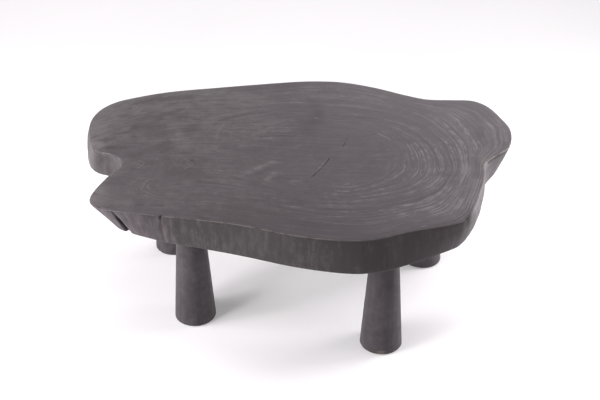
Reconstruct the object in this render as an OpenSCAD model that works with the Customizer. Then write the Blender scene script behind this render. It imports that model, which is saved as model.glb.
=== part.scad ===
// Low table: one thick live-edge slab, cut across the trunk, on four turned legs.
// Each leg is held by a hanger bolt that screws into an insert in the slab's underside.
// The origin is on the floor, under the middle of the slab. The front faces -Y.

/* [Slab] */
// Length of the upper face, left to right
top_length = 1130; // [900:2:1500]
// Depth of the upper face, front to back
top_depth = 802; // [640:2:1060]
// Thickness of the slab
slab_t = 90; // [60:1:130]
// Radius of the worn edge round the upper face
upper_round = 6; // [2:0.5:10]
// Radius of the edge round the lower face
lower_round = 4; // [1:0.5:10]

/* [Drying cracks] */
// Width of the open fissure in the wall of the front left lobe
fissure_w = 9; // [4:0.5:16]
// Depth of that fissure
fissure_depth = 22; // [8:1:40]
// Width of the radial crack in the upper face
crack_w = 3; // [1:0.5:5]
// Depth of the radial crack
crack_depth = 5; // [2:0.5:12]

/* [Legs] */
// Length of a leg, from the foot to the slab
leg_len = 328; // [200:1:450]
// Diameter of the foot
foot_d = 109; // [90:1:140]
// Diameter where the leg meets the slab
leg_top_d = 66; // [50:1:90]
// Radius round the foot's edge
foot_round = 3; // [1:0.5:6]
// Chamfer round the leg's upper edge
leg_chamfer = 1; // [0.5:0.5:3]

/* [Leg places on the drawn outline] */
// Front left leg, left to right
front_left_x = -276; // [-330:1:-200]
// Front left leg, front to back
front_left_y = -144; // [-190:1:-100]
// Front right leg, left to right
front_right_x = 213; // [120:1:300]
// Front right leg, front to back
front_right_y = -258; // [-280:1:-150]
// Back left leg, left to right
back_left_x = -360; // [-430:1:-200]
// Back left leg, front to back
back_left_y = 177; // [90:1:220]
// Back right leg, left to right
back_right_x = 351; // [200:1:440]
// Back right leg, front to back
back_right_y = 114; // [60:1:200]

/* [Hanger bolts] */
// Diameter over the threads
bolt_d = 10; // [6:1:12]
// Length of the wood thread in the leg
bolt_in_leg = 50; // [30:1:80]
// Length of the machine thread above the leg
bolt_in_slab = 24; // [14:1:36]
// Pitch of the wood thread
wood_pitch = 4; // [3:0.5:6]
// Pitch of the machine thread
machine_pitch = 1.5; // [1:0.25:2]
// Depth of the wood thread
wood_thread = 1.2; // [0.5:0.1:2]
// Depth of the machine thread
machine_thread = 0.7; // [0.3:0.1:1]
// Space left beyond each end of a bolt
bolt_end_gap = 2; // [1:0.5:6]

/* [Threaded inserts] */
// Wall of the insert between the bolt and its own outer thread
insert_wall = 2.2; // [1.5:0.1:4]
// Depth of the insert's outer thread
insert_thread = 1.2; // [0.5:0.1:2]
// Pitch of the insert's outer thread
insert_pitch = 3; // [2:0.5:5]
// Length of the insert, with its flange
insert_len = 26; // [18:1:40]
// Overhang of the flange past the insert's thread
flange_lip = 3; // [2:0.5:6]
// Thickness of the flange
flange_t = 2; // [1:0.5:4]

/* [Foot pads] */
// Thickness of the felt pad
pad_t = 2; // [1:0.5:5]
// How far the pad stands in from the flat of the foot
pad_inset = 6; // [3:1:15]
// Chamfer round the pad
pad_chamfer = 0.4; // [0.2:0.1:0.8]

/* [Fits] */
// Clearance round a bolt or an insert in its hole
fit_gap = 0.1; // [0.05:0.05:0.3]

/* [Hidden] */

// Colours
wood_colour = "#4a4543";
leg_colour = "#403c3a";
steel_colour = "#a8abb0";
zinc_colour = "#b9b6a4";
felt_colour = "#26262a";

// The live edge, clockwise from the left, as a ring of places that a smooth curve runs through:
// [x, y] on the upper face, then how far the lower edge lies from there in x and in y,
// and how far the wall swells out half way down
EDGE = [
    // Left end of the rear lobe
    [-562, 150, -12, 15, 6],
    [-552, 220, 2, 0, 4],
    [-514, 273, 10, -10, 4],
    // Long back
    [-450, 308, 6, -20, 4],
    [-358, 338, 4, -20, 4],
    [-220, 363, 2, -20, 4],
    [-85, 387, 0, -20, 4],
    [20, 401, 0, -22, 4],
    [120, 395, -4, -22, 4],
    [212, 363, -8, -18, 4],
    [302, 315, -8, -16, 4],
    [362, 290, -4, -16, 4],
    // Right lobe
    [430, 286, -4, -20, 4],
    [482, 281, -12, -20, 4],
    [520, 252, -22, -14, 4],
    [550, 190, -26, -6, 4],
    [568, 118, -24, -8, 2],
    [550, 28, -34, 8, 1],
    [510, -24, -20, 10, 1],
    // Right hollow
    [477, -58, 4, 14, 0],
    // Right flank and front corner
    [462, -127, -2, 0, 3],
    [434, -240, -7, 6, 4],
    [408, -310, -14, 22, 3],
    [368, -335, 0, 15, 2],
    // Front wall
    [262, -361, 2, -10, 0],
    [190, -391, 6, -9, 2],
    [118, -401, 2, -8, 2],
    [0, -381, 0, -4, 2],
    [-138, -335, 0, -2, 2],
    [-245, -312, 2, 8, 2],
    [-328, -297, 4, 17, 2],
    // Front left lobe
    [-463, -271, 34, 39, 0],
    [-504, -244, 48, 46, 0],
    [-509, -200, 32, 35, 2],
    [-482, -122, -10, 0, 3],
    // Left bay
    [-453, -60, -4, 8, 0],
    [-478, -16, 0, 26, 0],
    [-526, 6, -6, 34, 1],
    [-543, 52, -18, 33, 3],
];

// Cracks on the drawn outline: the fissure's two ends, and the line of the radial crack
fissure_top = [-455, -272];
fissure_foot = [-421, -231];
crack_start = [30, -132];
crack_mid = [58, -82];
crack_end = [82, -34];

// Curve steps between two places on the edge
edge_steps = 5;
// Angles at which the two rounded edges are cut
upper_angles = [0, 30, 60, 90];
lower_angles = [90, 45, 0];
// Heights of the wall's middle rings, as parts of the slab's thickness
wall_parts = [1 / 3, 2 / 3];
// Angle step round the foot's edge
foot_angle = 18;
// Facets round a turned piece
round_fn = 96;
small_fn = 48;
// Overlap of a cut past the face that it opens
cut_over = 1;

// The outline is drawn once and then drawn out to the chosen length and depth
edge_x = [for (p = EDGE) p[0]];
edge_y = [for (p = EDGE) p[1]];
scale_x = top_length / (max(edge_x) - min(edge_x));
scale_y = top_depth / (max(edge_y) - min(edge_y));
edge_n = len(EDGE);
function scaled(p) = [p[0] * scale_x, p[1] * scale_y];
function placed(p) = concat(scaled(p), [p[2], p[3], p[4]]);
function place(i) = placed(EDGE[(i + edge_n) % edge_n]);

// Smooth curve from b to c, with a before b and d after c
function curve(a, b, c, d, t) =
    (2 * b + (c - a) * t + (2 * a - 5 * b + 4 * c - d) * t ^ 2 + (3 * b - a - 3 * c + d) * t ^ 3) / 2;
rim = [
    for (i = [0 : edge_n - 1], k = [0 : edge_steps - 1])
        curve(place(i - 1), place(i), place(i + 1), place(i + 2), k / edge_steps)
];
rim_n = len(rim);

// Outward direction at a point of the rim
function flat(p) = [p[0], p[1]];
function unit(v) = v / norm(v);
function outward(i) =
    let (along = unit(flat(rim[(i + 1) % rim_n]) - flat(rim[(i + rim_n - 1) % rim_n])))
    [-along.y, along.x];

// Rings from the upper face down: [depth below the upper face, inset of the rounded edge]
rings = concat(
    [for (a = upper_angles) upper_round * [1 - cos(a), 1 - sin(a)]],
    [for (f = wall_parts) [slab_t * f, 0]],
    [for (a = lower_angles) [slab_t - lower_round * (1 - cos(a)), lower_round * (1 - sin(a))]]
);
function wall_point(i, ring) =
    let (
        p = rim[i],
        part = ring[0] / slab_t,
        side = outward(i) * (p[4] * sin(180 * part) - ring[1]),
        xy = flat(p) + [p[2], p[3]] * part + side
    )
    [xy.x, xy.y, slab_t - ring[0]];
wall = [for (ring = rings, i = [0 : rim_n - 1]) wall_point(i, ring)];
wall_x = [for (p = wall) p.x];
wall_y = [for (p = wall) p.y];
middle = [min(wall_x) + max(wall_x), min(wall_y) + max(wall_y)] / 2;

// Heights
foot_z = pad_t;
slab_z = foot_z + leg_len;

// Holes and threads
insert_d = bolt_d + 2 * (fit_gap + insert_wall + insert_thread);
flange_d = insert_d + 2 * flange_lip;
pad_d = foot_d - 2 * (foot_round + pad_inset);
leg_bore = bolt_in_leg + bolt_end_gap;
slab_bore = max(insert_len, bolt_in_slab + bolt_end_gap);

// Leg places on the drawn outline
front_left = [front_left_x, front_left_y];
front_right = [front_right_x, front_right_y];
back_left = [back_left_x, back_left_y];
back_right = [back_right_x, back_right_y];
LEGS = [front_left, front_right, back_left, back_right];

// Sets a child over a leg's place, at height z
module at_leg(p, z) {
    translate([each (scaled(p) - middle), z]) children();
}

// Slab, with each face drawn as a fan of triangles round the outline's own middle
module live_edge() {
    last = len(rings) - 1;
    hub = len(wall);
    hubs = [[0, 0, slab_t], [0, 0, 0]];
    fans = [
        for (i = [0 : rim_n - 1])
            let (j = (i + 1) % rim_n)
            each [[hub, i, j], [hub + 1, last * rim_n + j, last * rim_n + i]]
    ];
    sides = [
        for (r = [0 : last - 1], i = [0 : rim_n - 1])
            let (a = r * rim_n + i, b = r * rim_n + (i + 1) % rim_n)
            each [[a, a + rim_n, b], [b, a + rim_n, b + rim_n]]
    ];
    polyhedron(concat(wall, hubs), concat(fans, sides));
}

// Open fissure that runs down the wall of the front left lobe
module fissure() {
    foot = [each scaled(fissure_foot), 0];
    run = [each scaled(fissure_top), slab_t] - foot;
    translate(foot)
        rotate([0, acos(run.z / norm(run)), atan2(run.y, run.x)])
        linear_extrude(2 * norm(run), center = true)
        polygon([[-fissure_depth, 0], [fissure_depth, fissure_w], [fissure_depth, -fissure_w]]);
}

// Radial crack in the upper face, pointed at both ends
module radial_crack() {
    a = scaled(crack_start);
    b = scaled(crack_mid);
    c = scaled(crack_end);
    along = unit(c - a);
    half = [-along.y, along.x] * crack_w / 2;
    translate([0, 0, slab_t - crack_depth])
        linear_extrude(crack_depth + cut_over)
        polygon([a, b + half, c, b - half]);
}

// Stepped hole for an insert, opening at the lower face
module insert_hole() {
    translate([0, 0, -cut_over])
        cylinder(d = flange_d + 2 * fit_gap, h = flange_t + cut_over, $fn = small_fn);
    cylinder(d = insert_d + 2 * fit_gap, h = slab_bore, $fn = small_fn);
}

module slab_top() {
    color(wood_colour)
        translate([-middle.x, -middle.y, slab_z])
        difference() {
            live_edge();
            fissure();
            radial_crack();
            for (p = LEGS) translate(scaled(p)) insert_hole();
        }
}

// Leg, standing on its foot
module leg() {
    foot_r = foot_d / 2;
    top_r = leg_top_d / 2;
    foot_arc = [
        for (a = [-90 : foot_angle : 0])
            [foot_r - foot_round + foot_round * cos(a), foot_round + foot_round * sin(a)]
    ];
    top_edge = [[top_r, leg_len - leg_chamfer], [top_r - leg_chamfer, leg_len], [0, leg_len]];
    color(leg_colour)
        difference() {
            rotate_extrude($fn = round_fn) polygon(concat([[0, 0]], foot_arc, top_edge));
            translate([0, 0, leg_len - leg_bore])
                cylinder(d = bolt_d + 2 * fit_gap, h = leg_bore + cut_over, $fn = small_fn);
        }
}

// Outline of a thread from height z0 up to z1, as ridges of one pitch
function thread(r, depth, pitch, z0, z1) =
    let (turns = floor((z1 - z0) / pitch))
    [
        for (k = [0 : turns - 1], s = [0, 0.5])
            [s == 0 ? r - depth : r, z0 + (k + s) * pitch],
        [r - depth, z0 + turns * pitch]
    ];

// Hanger bolt, with the leg's upper face at height 0
module bolt() {
    r = bolt_d / 2;
    core = r - wood_thread;
    wood = thread(r, wood_thread, wood_pitch, core - bolt_in_leg, 0);
    machine = thread(r, machine_thread, machine_pitch, 0, bolt_in_slab - machine_thread);
    tip = [[0, -bolt_in_leg]];
    end = [[r - 2 * machine_thread, bolt_in_slab], [0, bolt_in_slab]];
    color(steel_colour)
        rotate_extrude($fn = small_fn) polygon(concat(tip, wood, machine, end));
}

// Threaded insert, with its flange's lower face at height 0
module insert() {
    r = insert_d / 2;
    bore_r = bolt_d / 2 + fit_gap;
    flange = [[flange_d / 2, 0], [flange_d / 2, flange_t]];
    outside = thread(r, insert_thread, insert_pitch, flange_t, insert_len);
    end = [[r - insert_thread, insert_len], [bore_r, insert_len]];
    color(zinc_colour)
        rotate_extrude($fn = small_fn) polygon(concat([[bore_r, 0]], flange, outside, end));
}

// Felt pad, standing on the floor
module pad() {
    r = pad_d / 2;
    c = min(pad_chamfer, pad_t / 3);
    color(felt_colour)
        rotate_extrude($fn = round_fn)
        polygon([[0, 0], [r - c, 0], [r, c], [r, pad_t - c], [r - c, pad_t], [0, pad_t]]);
}

module leg_front_left() { at_leg(front_left, foot_z) leg(); }
module leg_front_right() { at_leg(front_right, foot_z) leg(); }
module leg_back_left() { at_leg(back_left, foot_z) leg(); }
module leg_back_right() { at_leg(back_right, foot_z) leg(); }

module bolt_front_left() { at_leg(front_left, slab_z) bolt(); }
module bolt_front_right() { at_leg(front_right, slab_z) bolt(); }
module bolt_back_left() { at_leg(back_left, slab_z) bolt(); }
module bolt_back_right() { at_leg(back_right, slab_z) bolt(); }

module insert_front_left() { at_leg(front_left, slab_z) insert(); }
module insert_front_right() { at_leg(front_right, slab_z) insert(); }
module insert_back_left() { at_leg(back_left, slab_z) insert(); }
module insert_back_right() { at_leg(back_right, slab_z) insert(); }

module pad_front_left() { at_leg(front_left, 0) pad(); }
module pad_front_right() { at_leg(front_right, 0) pad(); }
module pad_back_left() { at_leg(back_left, 0) pad(); }
module pad_back_right() { at_leg(back_right, 0) pad(); }

slab_top();
leg_front_left();
leg_front_right();
leg_back_left();
leg_back_right();
bolt_front_left();
bolt_front_right();
bolt_back_left();
bolt_back_right();
insert_front_left();
insert_front_right();
insert_back_left();
insert_back_right();
pad_front_left();
pad_front_right();
pad_back_left();
pad_back_right();
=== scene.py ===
"""Live edge coffee table: a matt black slab, cut across the trunk, on four turned legs."""

import math

import bpy
import numpy as np
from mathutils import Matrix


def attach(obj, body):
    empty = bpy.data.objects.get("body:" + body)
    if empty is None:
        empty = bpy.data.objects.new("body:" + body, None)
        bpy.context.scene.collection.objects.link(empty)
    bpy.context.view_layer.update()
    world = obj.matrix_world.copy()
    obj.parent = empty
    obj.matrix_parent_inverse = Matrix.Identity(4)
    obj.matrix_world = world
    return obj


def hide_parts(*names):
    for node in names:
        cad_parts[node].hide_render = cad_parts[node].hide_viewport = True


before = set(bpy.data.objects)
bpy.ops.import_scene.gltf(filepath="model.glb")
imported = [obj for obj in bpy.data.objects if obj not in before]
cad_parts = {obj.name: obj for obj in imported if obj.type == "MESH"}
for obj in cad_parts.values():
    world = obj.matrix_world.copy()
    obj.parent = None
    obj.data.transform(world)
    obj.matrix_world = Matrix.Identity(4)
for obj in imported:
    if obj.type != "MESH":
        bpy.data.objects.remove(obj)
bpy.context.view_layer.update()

rng = np.random.default_rng(5614)
MM = 0.001
TURN = 2 * math.pi

# The slab's sizes in mm

SLAB_TOP_Z = 420.0
SLAB_T = 90.0
SLAB_Z = SLAB_TOP_Z - SLAB_T
UPPER_ROUND = 6.0
LOWER_ROUND = 4.0
# Middle of the drawn outline, which is the shared frame's origin
MIDDLE = np.array([-4.185, -4.347])
# Heart of the growth rings, on the drawn outline
HEART = np.array([88.0, -18.0])
# The live edge, its rim up to 9 mm inside the one in part.scad:
# [x, y, lean of the lower edge in x and y, swell half way down]
EDGE = np.array([
    [-562, 150, -12, 15, 6], [-552, 220, 2, 0, 4], [-514, 273, 10, -10, 4], [-450, 308, 6, -20, 4],
    [-358, 340, 4, -20, 4], [-220, 366, 2, -20, 4], [-85, 389, 0, -20, 4], [20, 403, 0, -22, 4],
    [120, 398, -4, -22, 4], [212, 366, -8, -18, 4], [302, 318, -8, -16, 4], [362, 293, -4, -16, 4],
    [430, 290, -4, -20, 4], [484, 285, -12, -20, 4], [522, 254, -22, -14, 4], [550, 190, -26, -6, 4],
    [568, 116, -24, -8, 2], [551, 28, -32, 8, 1], [504, -23, -14, 9, 1], [477, -58, 4, 14, 0],
    [463, -127, -2, 0, 5], [428, -240, -5, 5, 10], [400, -307, -8, 17, 6], [366, -331, -4, 16, 3],
    [262, -361, 2, -10, 0], [190, -389, 6, -11, 2], [118, -399, 2, -10, 2], [0, -381, 0, -4, 2],
    [-138, -335, 0, -2, 2], [-245, -312, 2, 8, 2], [-328, -297, 4, 17, 2], [-463, -271, 34, 39, 0],
    [-504, -244, 48, 46, 0], [-509, -200, 32, 35, 2], [-482, -122, -10, 0, 3], [-453, -60, -4, 8, 0],
    [-478, -16, -3, 26, 0], [-526, 6, -9, 34, 1], [-543, 52, -21, 33, 3],
], float)
LEGS = {
    "front_left": (-276, -144), "front_right": (213, -258),
    "back_left": (-360, 177), "back_right": (351, 114),
}
# Stain of the wall along the edge, lighter or darker: rows of EDGE, strength; the extra darkness from rows
# 20 to 23, at the front right corner, is painted shade
WALL_TINTS = np.array([
    (0, -0.12), (15, -0.12), (16.4, -0.20), (17.2, -0.32), (17.8, -0.28), (18.3, -0.12), (19.2, 0.0),
    (20, -0.30), (21, -0.37), (21.6, -0.42), (22.2, -0.44), (23, -0.40), (23.7, -0.47), (24.6, -0.44),
    (25.4, -0.50), (25.9, -0.60), (26.3, -0.58), (27, -0.42), (27.4, -0.53), (27.8, -0.42),
    (28.6, -0.42), (29.0, -0.49), (29.2, -0.46), (29.5, -0.50), (29.6, -0.40), (29.7, -0.25),
    (29.8, -0.22), (30.05, -0.34), (30.3, -0.30), (30.5, -0.16), (30.8, -0.08), (32, -0.15),
    (34, -0.05), (35.1, 0.0), (35.4, -0.10), (35.6, -0.13), (35.8, -0.24), (36.0, -0.20), (36.4, -0.12),
    (36.6, 0.08), (36.8, -0.16), (37.0, -0.26), (37.25, -0.32), (37.4, 0.05), (37.6, 0.10),
    (38.0, 0.03), (38.4, -0.10), (39, -0.12),
])
# How strong the blotches and fibres of the wall are along the edge
WALL_DETAIL = np.array([
    (0, 1.0), (24.2, 1.0), (25.2, 1.4), (26.8, 1.5), (27.4, 1.1), (28.3, 1.15), (28.7, 1.8), (29.9, 1.8),
    (30.1, 1.5), (31.3, 1.5), (31.8, 1.0), (39, 1.0)])
# How far the upper edge is worn down
WORN_RIM = 1.3
# Columns round the slab, rows down its wall between the rounds, and rows from the rim to the heart
COLUMNS = 860
WALL_ROWS = 18
TOP_ROWS = 64
# Wall rings from the rim down that still have the upper face's stain and grain
RIM_ROWS = 3
# Width of the flat border round the underside
UNDER_BORDER = 1.0


# Small helpers

def bump(x, middle, width):
    """Smooth hump of height 1."""
    return np.exp(-((x - middle) / width) ** 2)


def ramp(x, low, high):
    """0 below low, 1 above high, smooth between; falls where high is below low."""
    t = np.clip((x - low) / (high - low), 0, 1)
    return t * t * (3 - 2 * t)


def hills(xy, rows):
    """Sum of smooth hills over a plan: middle x and y, half width in x and y, height."""
    total = np.zeros(len(xy))
    for at_x, at_y, wide_x, wide_y, height in rows:
        total += height * np.exp(-((xy[:, 0] - at_x) / wide_x) ** 2 - ((xy[:, 1] - at_y) / wide_y) ** 2)
    return total


def from_stroke(xy, start, end):
    """Distance of each place from the straight stroke between two points."""
    start = np.array(start, float)
    run = np.array(end, float) - start
    along = np.clip((xy - start) @ run / (run @ run), 0, 1)
    return np.linalg.norm(xy - start - along[:, None] * run, axis=1)


def on_top(place):
    """A place on the drawn outline in mm, as a point of the upper face in m."""
    return np.array([*(np.array(place) - MIDDLE), SLAB_TOP_Z]) * MM


def ripples(turn, low, high, power=1.0):
    """Random wave that closes on itself round the outline, with low to high waves in a turn."""
    waves = np.arange(low, high)
    phase = rng.uniform(0, TURN, len(waves))
    size = rng.uniform(0.4, 1.0, len(waves)) * (waves / low) ** -power
    wave = (np.cos(TURN * np.outer(turn, waves) + phase) * size).sum(1)
    return wave / np.abs(wave).max()


def ring_quads(a, b, n):
    """Quads between ring a and ring b, of n points each."""
    here = np.arange(n)
    after = (here + 1) % n
    return np.stack([a * n + here, b * n + here, b * n + after, a * n + after], axis=1).tolist()


def fan(hub, start, n, back=False):
    """Triangles from one point to the ring of n points that begins at start."""
    ring = [start + k % n for k in range(n + 1)]
    return [(hub, b, a) if back else (hub, a, b) for a, b in zip(ring, ring[1:])]


def new_mesh(name, points, faces, material):
    """Mesh object from points in mm; each face lists the numbers of its points."""
    mesh = bpy.data.meshes.new(name)
    mesh.from_pydata((np.asarray(points, float) * MM).tolist(), [], faces)
    mesh.materials.append(material)
    mesh.shade_smooth()
    thing = bpy.data.objects.new(name, mesh)
    bpy.context.scene.collection.objects.link(thing)
    return thing


def corner_points(mesh):
    """The point of each face corner."""
    corner = np.empty(len(mesh.loops), int)
    mesh.loops.foreach_get("vertex_index", corner)
    return corner


def put_corners(mesh, name, values):
    """Stores one vector for each face corner."""
    layer = mesh.attributes.new(name, "FLOAT_VECTOR", "CORNER")
    layer.data.foreach_set("vector", np.ascontiguousarray(values, np.float32).ravel())


class Tree:
    """Short names for the nodes of one material."""

    def __init__(self, name, world=None):
        self.owner = world or bpy.data.materials.new(name)
        self.owner.use_nodes = True
        self.tree = self.owner.node_tree
        self.tree.nodes.clear()

    def node(self, kind, inputs=(), **settings):
        """New node with its inputs linked or set, by name or number."""
        made = self.tree.nodes.new(kind)
        for key, value in settings.items():
            setattr(made, key, value)
        for key, value in dict(inputs).items():
            socket = made.inputs[key]
            if isinstance(value, bpy.types.NodeSocket):
                self.tree.links.new(value, socket)
            else:
                socket.default_value = value
        return made

    def math(self, operation, a, b=0.0, clamp=False):
        return self.node("ShaderNodeMath", {0: a, 1: b}, operation=operation, use_clamp=clamp).outputs[0]

    def plus(self, a, *others):
        for b in others:
            a = self.math("ADD", a, b)
        return a

    def minus(self, a, b):
        return self.math("SUBTRACT", a, b)

    def times(self, a, *others):
        for b in others:
            a = self.math("MULTIPLY", a, b)
        return a

    def vector(self, operation, a, b=(0, 0, 0), scale=None):
        """Vector math; gives the value where the operation has one."""
        inputs = {0: a}
        if scale is None:
            inputs[1] = b
        else:
            inputs["Scale"] = scale
        made = self.node("ShaderNodeVectorMath", inputs, operation=operation)
        return made.outputs["Value" if operation in ("LENGTH", "DOT_PRODUCT") else "Vector"]

    def noise(self, place, scale, detail=2.0, rough=0.5, along="Vector", **settings):
        inputs = {along: place, "Scale": scale, "Detail": detail, "Roughness": rough}
        return self.node("ShaderNodeTexNoise", inputs, **settings).outputs["Fac"]

    def line_noise(self, value, scale, detail=2.0, rough=0.5):
        return self.noise(value, scale, detail, rough, "W", noise_dimensions="1D")

    def range(self, value, low, high, to_low=0.0, to_high=1.0):
        """Smooth step between two levels."""
        inputs = {"Value": value, "From Min": low, "From Max": high, "To Min": to_low, "To Max": to_high}
        return self.node("ShaderNodeMapRange", inputs, interpolation_type="SMOOTHSTEP").outputs["Result"]

    def mix(self, factor, a, b, clamp=True):
        made = self.node("ShaderNodeMix", data_type="RGBA", clamp_factor=clamp)
        for key, value in ((0, factor), (6, a), (7, b)):
            if isinstance(value, bpy.types.NodeSocket):
                self.tree.links.new(value, made.inputs[key])
            else:
                made.inputs[key].default_value = value
        return made.outputs[2]

    def colours(self, factor, stops):
        """Colour ramp with a stop for each place and colour, 32 at most."""
        made = self.node("ShaderNodeValToRGB", {"Fac": factor})
        line = made.color_ramp
        line.elements.remove(line.elements[1])
        line.elements[0].position = stops[0][0]
        line.elements[0].color = (*stops[0][1], 1)
        for place, colour in stops[1:]:
            line.elements.new(place).color = (*colour, 1)
        return made.outputs["Color"]

    def peaks(self, value, full, places):
        """Narrow peaks along value, which runs to full: place, half width, height."""
        stops = []
        for place, half, height in places:
            for at, level in ((place - half, 0.0), (place, height), (place + half, 0.0)):
                stops.append((at / full, (level, level, level)))
        return self.colours(self.math("DIVIDE", value, full), stops)

    def attribute(self, name):
        return self.node("ShaderNodeAttribute", attribute_name=name).outputs["Vector"]

    def split(self, vector):
        return self.node("ShaderNodeSeparateXYZ", {0: vector}).outputs

    def places(self):
        return self.node("ShaderNodeTexCoord").outputs["Object"]

    def finish(self, colour, rough, height=None, distance=0.0, strength=0.6, **more):
        """Principled surface; height is in units of distance."""
        inputs = {"Base Color": colour, "Roughness": rough}
        if height is not None:
            inputs["Normal"] = self.node(
                "ShaderNodeBump",
                {"Height": height, "Distance": distance, "Strength": strength},
            ).outputs["Normal"]
        surface = self.node("ShaderNodeBsdfPrincipled", inputs)
        for key, value in more.items():
            surface.inputs[key.replace("_", " ")].default_value = value
        self.node("ShaderNodeOutputMaterial", {"Surface": surface.outputs[0]})
        return self.owner


# Materials

def mark(tree, places, start, end, width, strength):
    """Soft stroke on the upper face from start to end, on the drawn outline in mm."""
    a = on_top(start)
    run = on_top(end) - a
    from_a = tree.vector("SUBTRACT", places, tuple(a))
    along = tree.vector("DOT_PRODUCT", from_a, tuple(run / (run @ run)))
    along = tree.math("ADD", along, 0.0, clamp=True)
    off = tree.vector("SUBTRACT", from_a, tree.vector("SCALE", tuple(run), scale=along))
    return tree.range(tree.vector("LENGTH", off), 0.0, width * MM, strength, 0.0)


# Thin strokes on the upper face in mm: x and y of the start and of the end, half width, strength
PALE_MARKS = [
    (205, 105, 236, 72, 3.0, 1.1), (236, 72, 266, 38, 2.6, 0.9), (222, 108, 262, 66, 2.4, 0.6),
    (47, 180, 51, 180, 5.0, 1.5), (115, -156, 124, -153, 5.0, 0.7), (-240, 180, -185, 203, 6.0, 0.30),
    (-185, 203, -120, 222, 6.0, 0.30), (-215, 60, -214, 110, 4.0, 0.25),
    (-214, 110, -203, 150, 4.0, 0.30), (-66, -9, -55, 0, 7.0, 0.32), (-10, 26, 5, 39, 8.0, 0.38),
    (50, -80, 71, -38, 2.4, 0.9), (30, -116, 50, -84, 2.4, 0.5), (20, -150, 35, -122, 1.8, 0.45),
    (236, 12, 238, -14, 5.0, 0.35),
]
# The dark strokes over the crack's stretches in CRACK are painted shade in the crack; the other dark
# strokes are stain
DARK_MARKS = [
    (114, 27, 120, 46, 2.2, 2.2), (120, 46, 133, 86, 1.8, 0.7), (88, -20, 112, 18, 1.6, 0.4),
    (14, -152, 31, -124, 1.8, 0.8), (-66, -22, -35, -18, 4.5, 0.55), (30, -126, 56, -81, 2.0, 0.9),
    (66, -60, 79, -33, 2.2, 0.9), (176, 82, 205, 98, 5.0, 0.8), (-100, 80, -5, 84, 5.0, 0.55),
    (-215, 168, -160, 193, 6.0, 0.45), (-160, 193, -100, 208, 6.0, 0.50),
    (-100, 208, -10, 205, 5.0, 0.40), (90, 196, 160, 183, 6.0, 0.50), (160, 183, 225, 176, 6.0, 0.60),
    (170, -46, 262, -40, 4.0, 0.45), (20, -150, 36, -168, 4.0, 0.50), (36, -168, 90, -186, 4.0, 0.45),
    (90, -186, 150, -184, 4.0, 0.35), (-95, -150, -60, -128, 5.0, 0.50), (-52, -128, 0, -132, 6.0, 0.60),
]
# Soft patches of lighter or darker stain, in rows of the same kind; two are painted shade: the one along
# the rim of the front right corner, from (420, -262) to (396, -306), and the dark line beside the pale
# curved strokes, from (-107, -109) to (-72, -80)
PATCHES = [
    (26, 296, 42, 256, 16, -0.10), (46, 244, 56, 205, 17, -0.16), (50, 196, 38, 160, 18, -0.18),
    (60, 220, 57, 160, 13, -0.07), (26, 197, 62, 197, 8, -0.08), (36, 150, 26, 118, 26, -0.14),
    (0, 176, 12, 140, 18, -0.06), (76, 170, 80, 140, 16, -0.05), (-385, 96, -350, 92, 26, -0.14),
    (-292, 118, -284, 122, 18, -0.16), (-345, 150, -325, 80, 26, 0.07), (-370, 22, -352, 24, 15, -0.18),
    (-492, 24, -462, 22, 14, -0.18), (-528, 44, -512, 22, 13, 0.12), (-485, 190, -462, 194, 10, -0.16),
    (-372, 204, -338, 212, 10, -0.16), (-385, -245, -380, -250, 10, -0.16),
    (-450, 264, -380, 292, 12, -0.12), (-380, 292, -300, 300, 12, -0.10),
    (-420, 240, -320, 262, 14, 0.06), (-430, -20, -420, -24, 18, -0.12),
    (-300, -100, -270, -104, 22, -0.10), (-280, -170, -230, -175, 22, 0.05),
    (-440, 130, -400, 134, 14, -0.12), (-500, 130, -490, 90, 18, -0.08), (430, -80, 425, -105, 16, 0.24),
    (310, -20, 322, -90, 26, 0.10), (360, -60, 372, -150, 20, -0.12), (480, 160, 488, 90, 16, -0.10),
    (330, -200, 395, -235, 26, 0.10), (250, -290, 360, -290, 22, 0.10), (438, -140, 424, -235, 15, 0.26),
    (484, 14, 468, -42, 14, 0.22), (400, 60, 428, 140, 34, -0.09), (-45, -55, -70, -49, 8, 0.15),
    (-70, -49, -101, -77, 10, 0.17), (-101, -77, -129, -101, 10, 0.16), (-62, -104, -78, -136, 9, 0.19),
    (-78, -136, -88, -150, 7, 0.16), (-141, -119, -127, -136, 8, 0.14), (-16, -141, 3, -141, 7, 0.14),
    (202, 74, 218, 36, 6, -0.10), (218, 36, 221, 0, 6, -0.10), (365, -105, 380, -118, 7, -0.22),
    (-440, -246, -250, -252, 16, 0.09), (-262, 10, -235, 8, 34, 0.08), (-112, 50, -92, 50, 26, 0.09),
    (-440, 176, -410, 186, 30, -0.08), (371, -169, 375, -175, 34, 0.07), (290, -228, 300, -236, 34, 0.06),
    (100, 343, 160, 338, 26, -0.09), (-175, 343, -130, 345, 24, -0.08), (276, -280, 284, -280, 20, -0.13),
    (420, -262, 396, -306, 12, -0.07), (404, -36, 404, -74, 5, -0.20), (482, 80, 490, 130, 5, -0.22),
    (-107, -109, -72, -80, 6, -0.12), (30, 150, 42, 200, 24, -0.05), (-130, -268, 110, -345, 34, -0.10),
    (-130, -305, 120, -378, 30, -0.14),
]
# Rings that stand out: length along the field in m, half width, strength
STRONG_RINGS = [
    (0.128, 0.0022, 0.35), (0.155, 0.0022, 0.40), (0.183, 0.0028, 1.10), (0.217, 0.0026, 0.90),
    (0.234, 0.0030, 1.00), (0.272, 0.0024, 0.65), (0.292, 0.0022, 0.45),
    (0.314, 0.0026, 0.90), (0.339, 0.0022, 0.65), (0.362, 0.0024, 0.60),
]
# Spacing of the wide and the narrow rings in m, and the length of the field that holds the strong ones
WIDE_RING, NARROW_RING = 0.0108, 0.0051
STRONG_REACH = 0.45
# Where the two left lobes have grown together, behind the bay: its y, start and end in x
SEAM_Y, SEAM_FROM, SEAM_TO = -58.0, -455.0, -236.0
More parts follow.
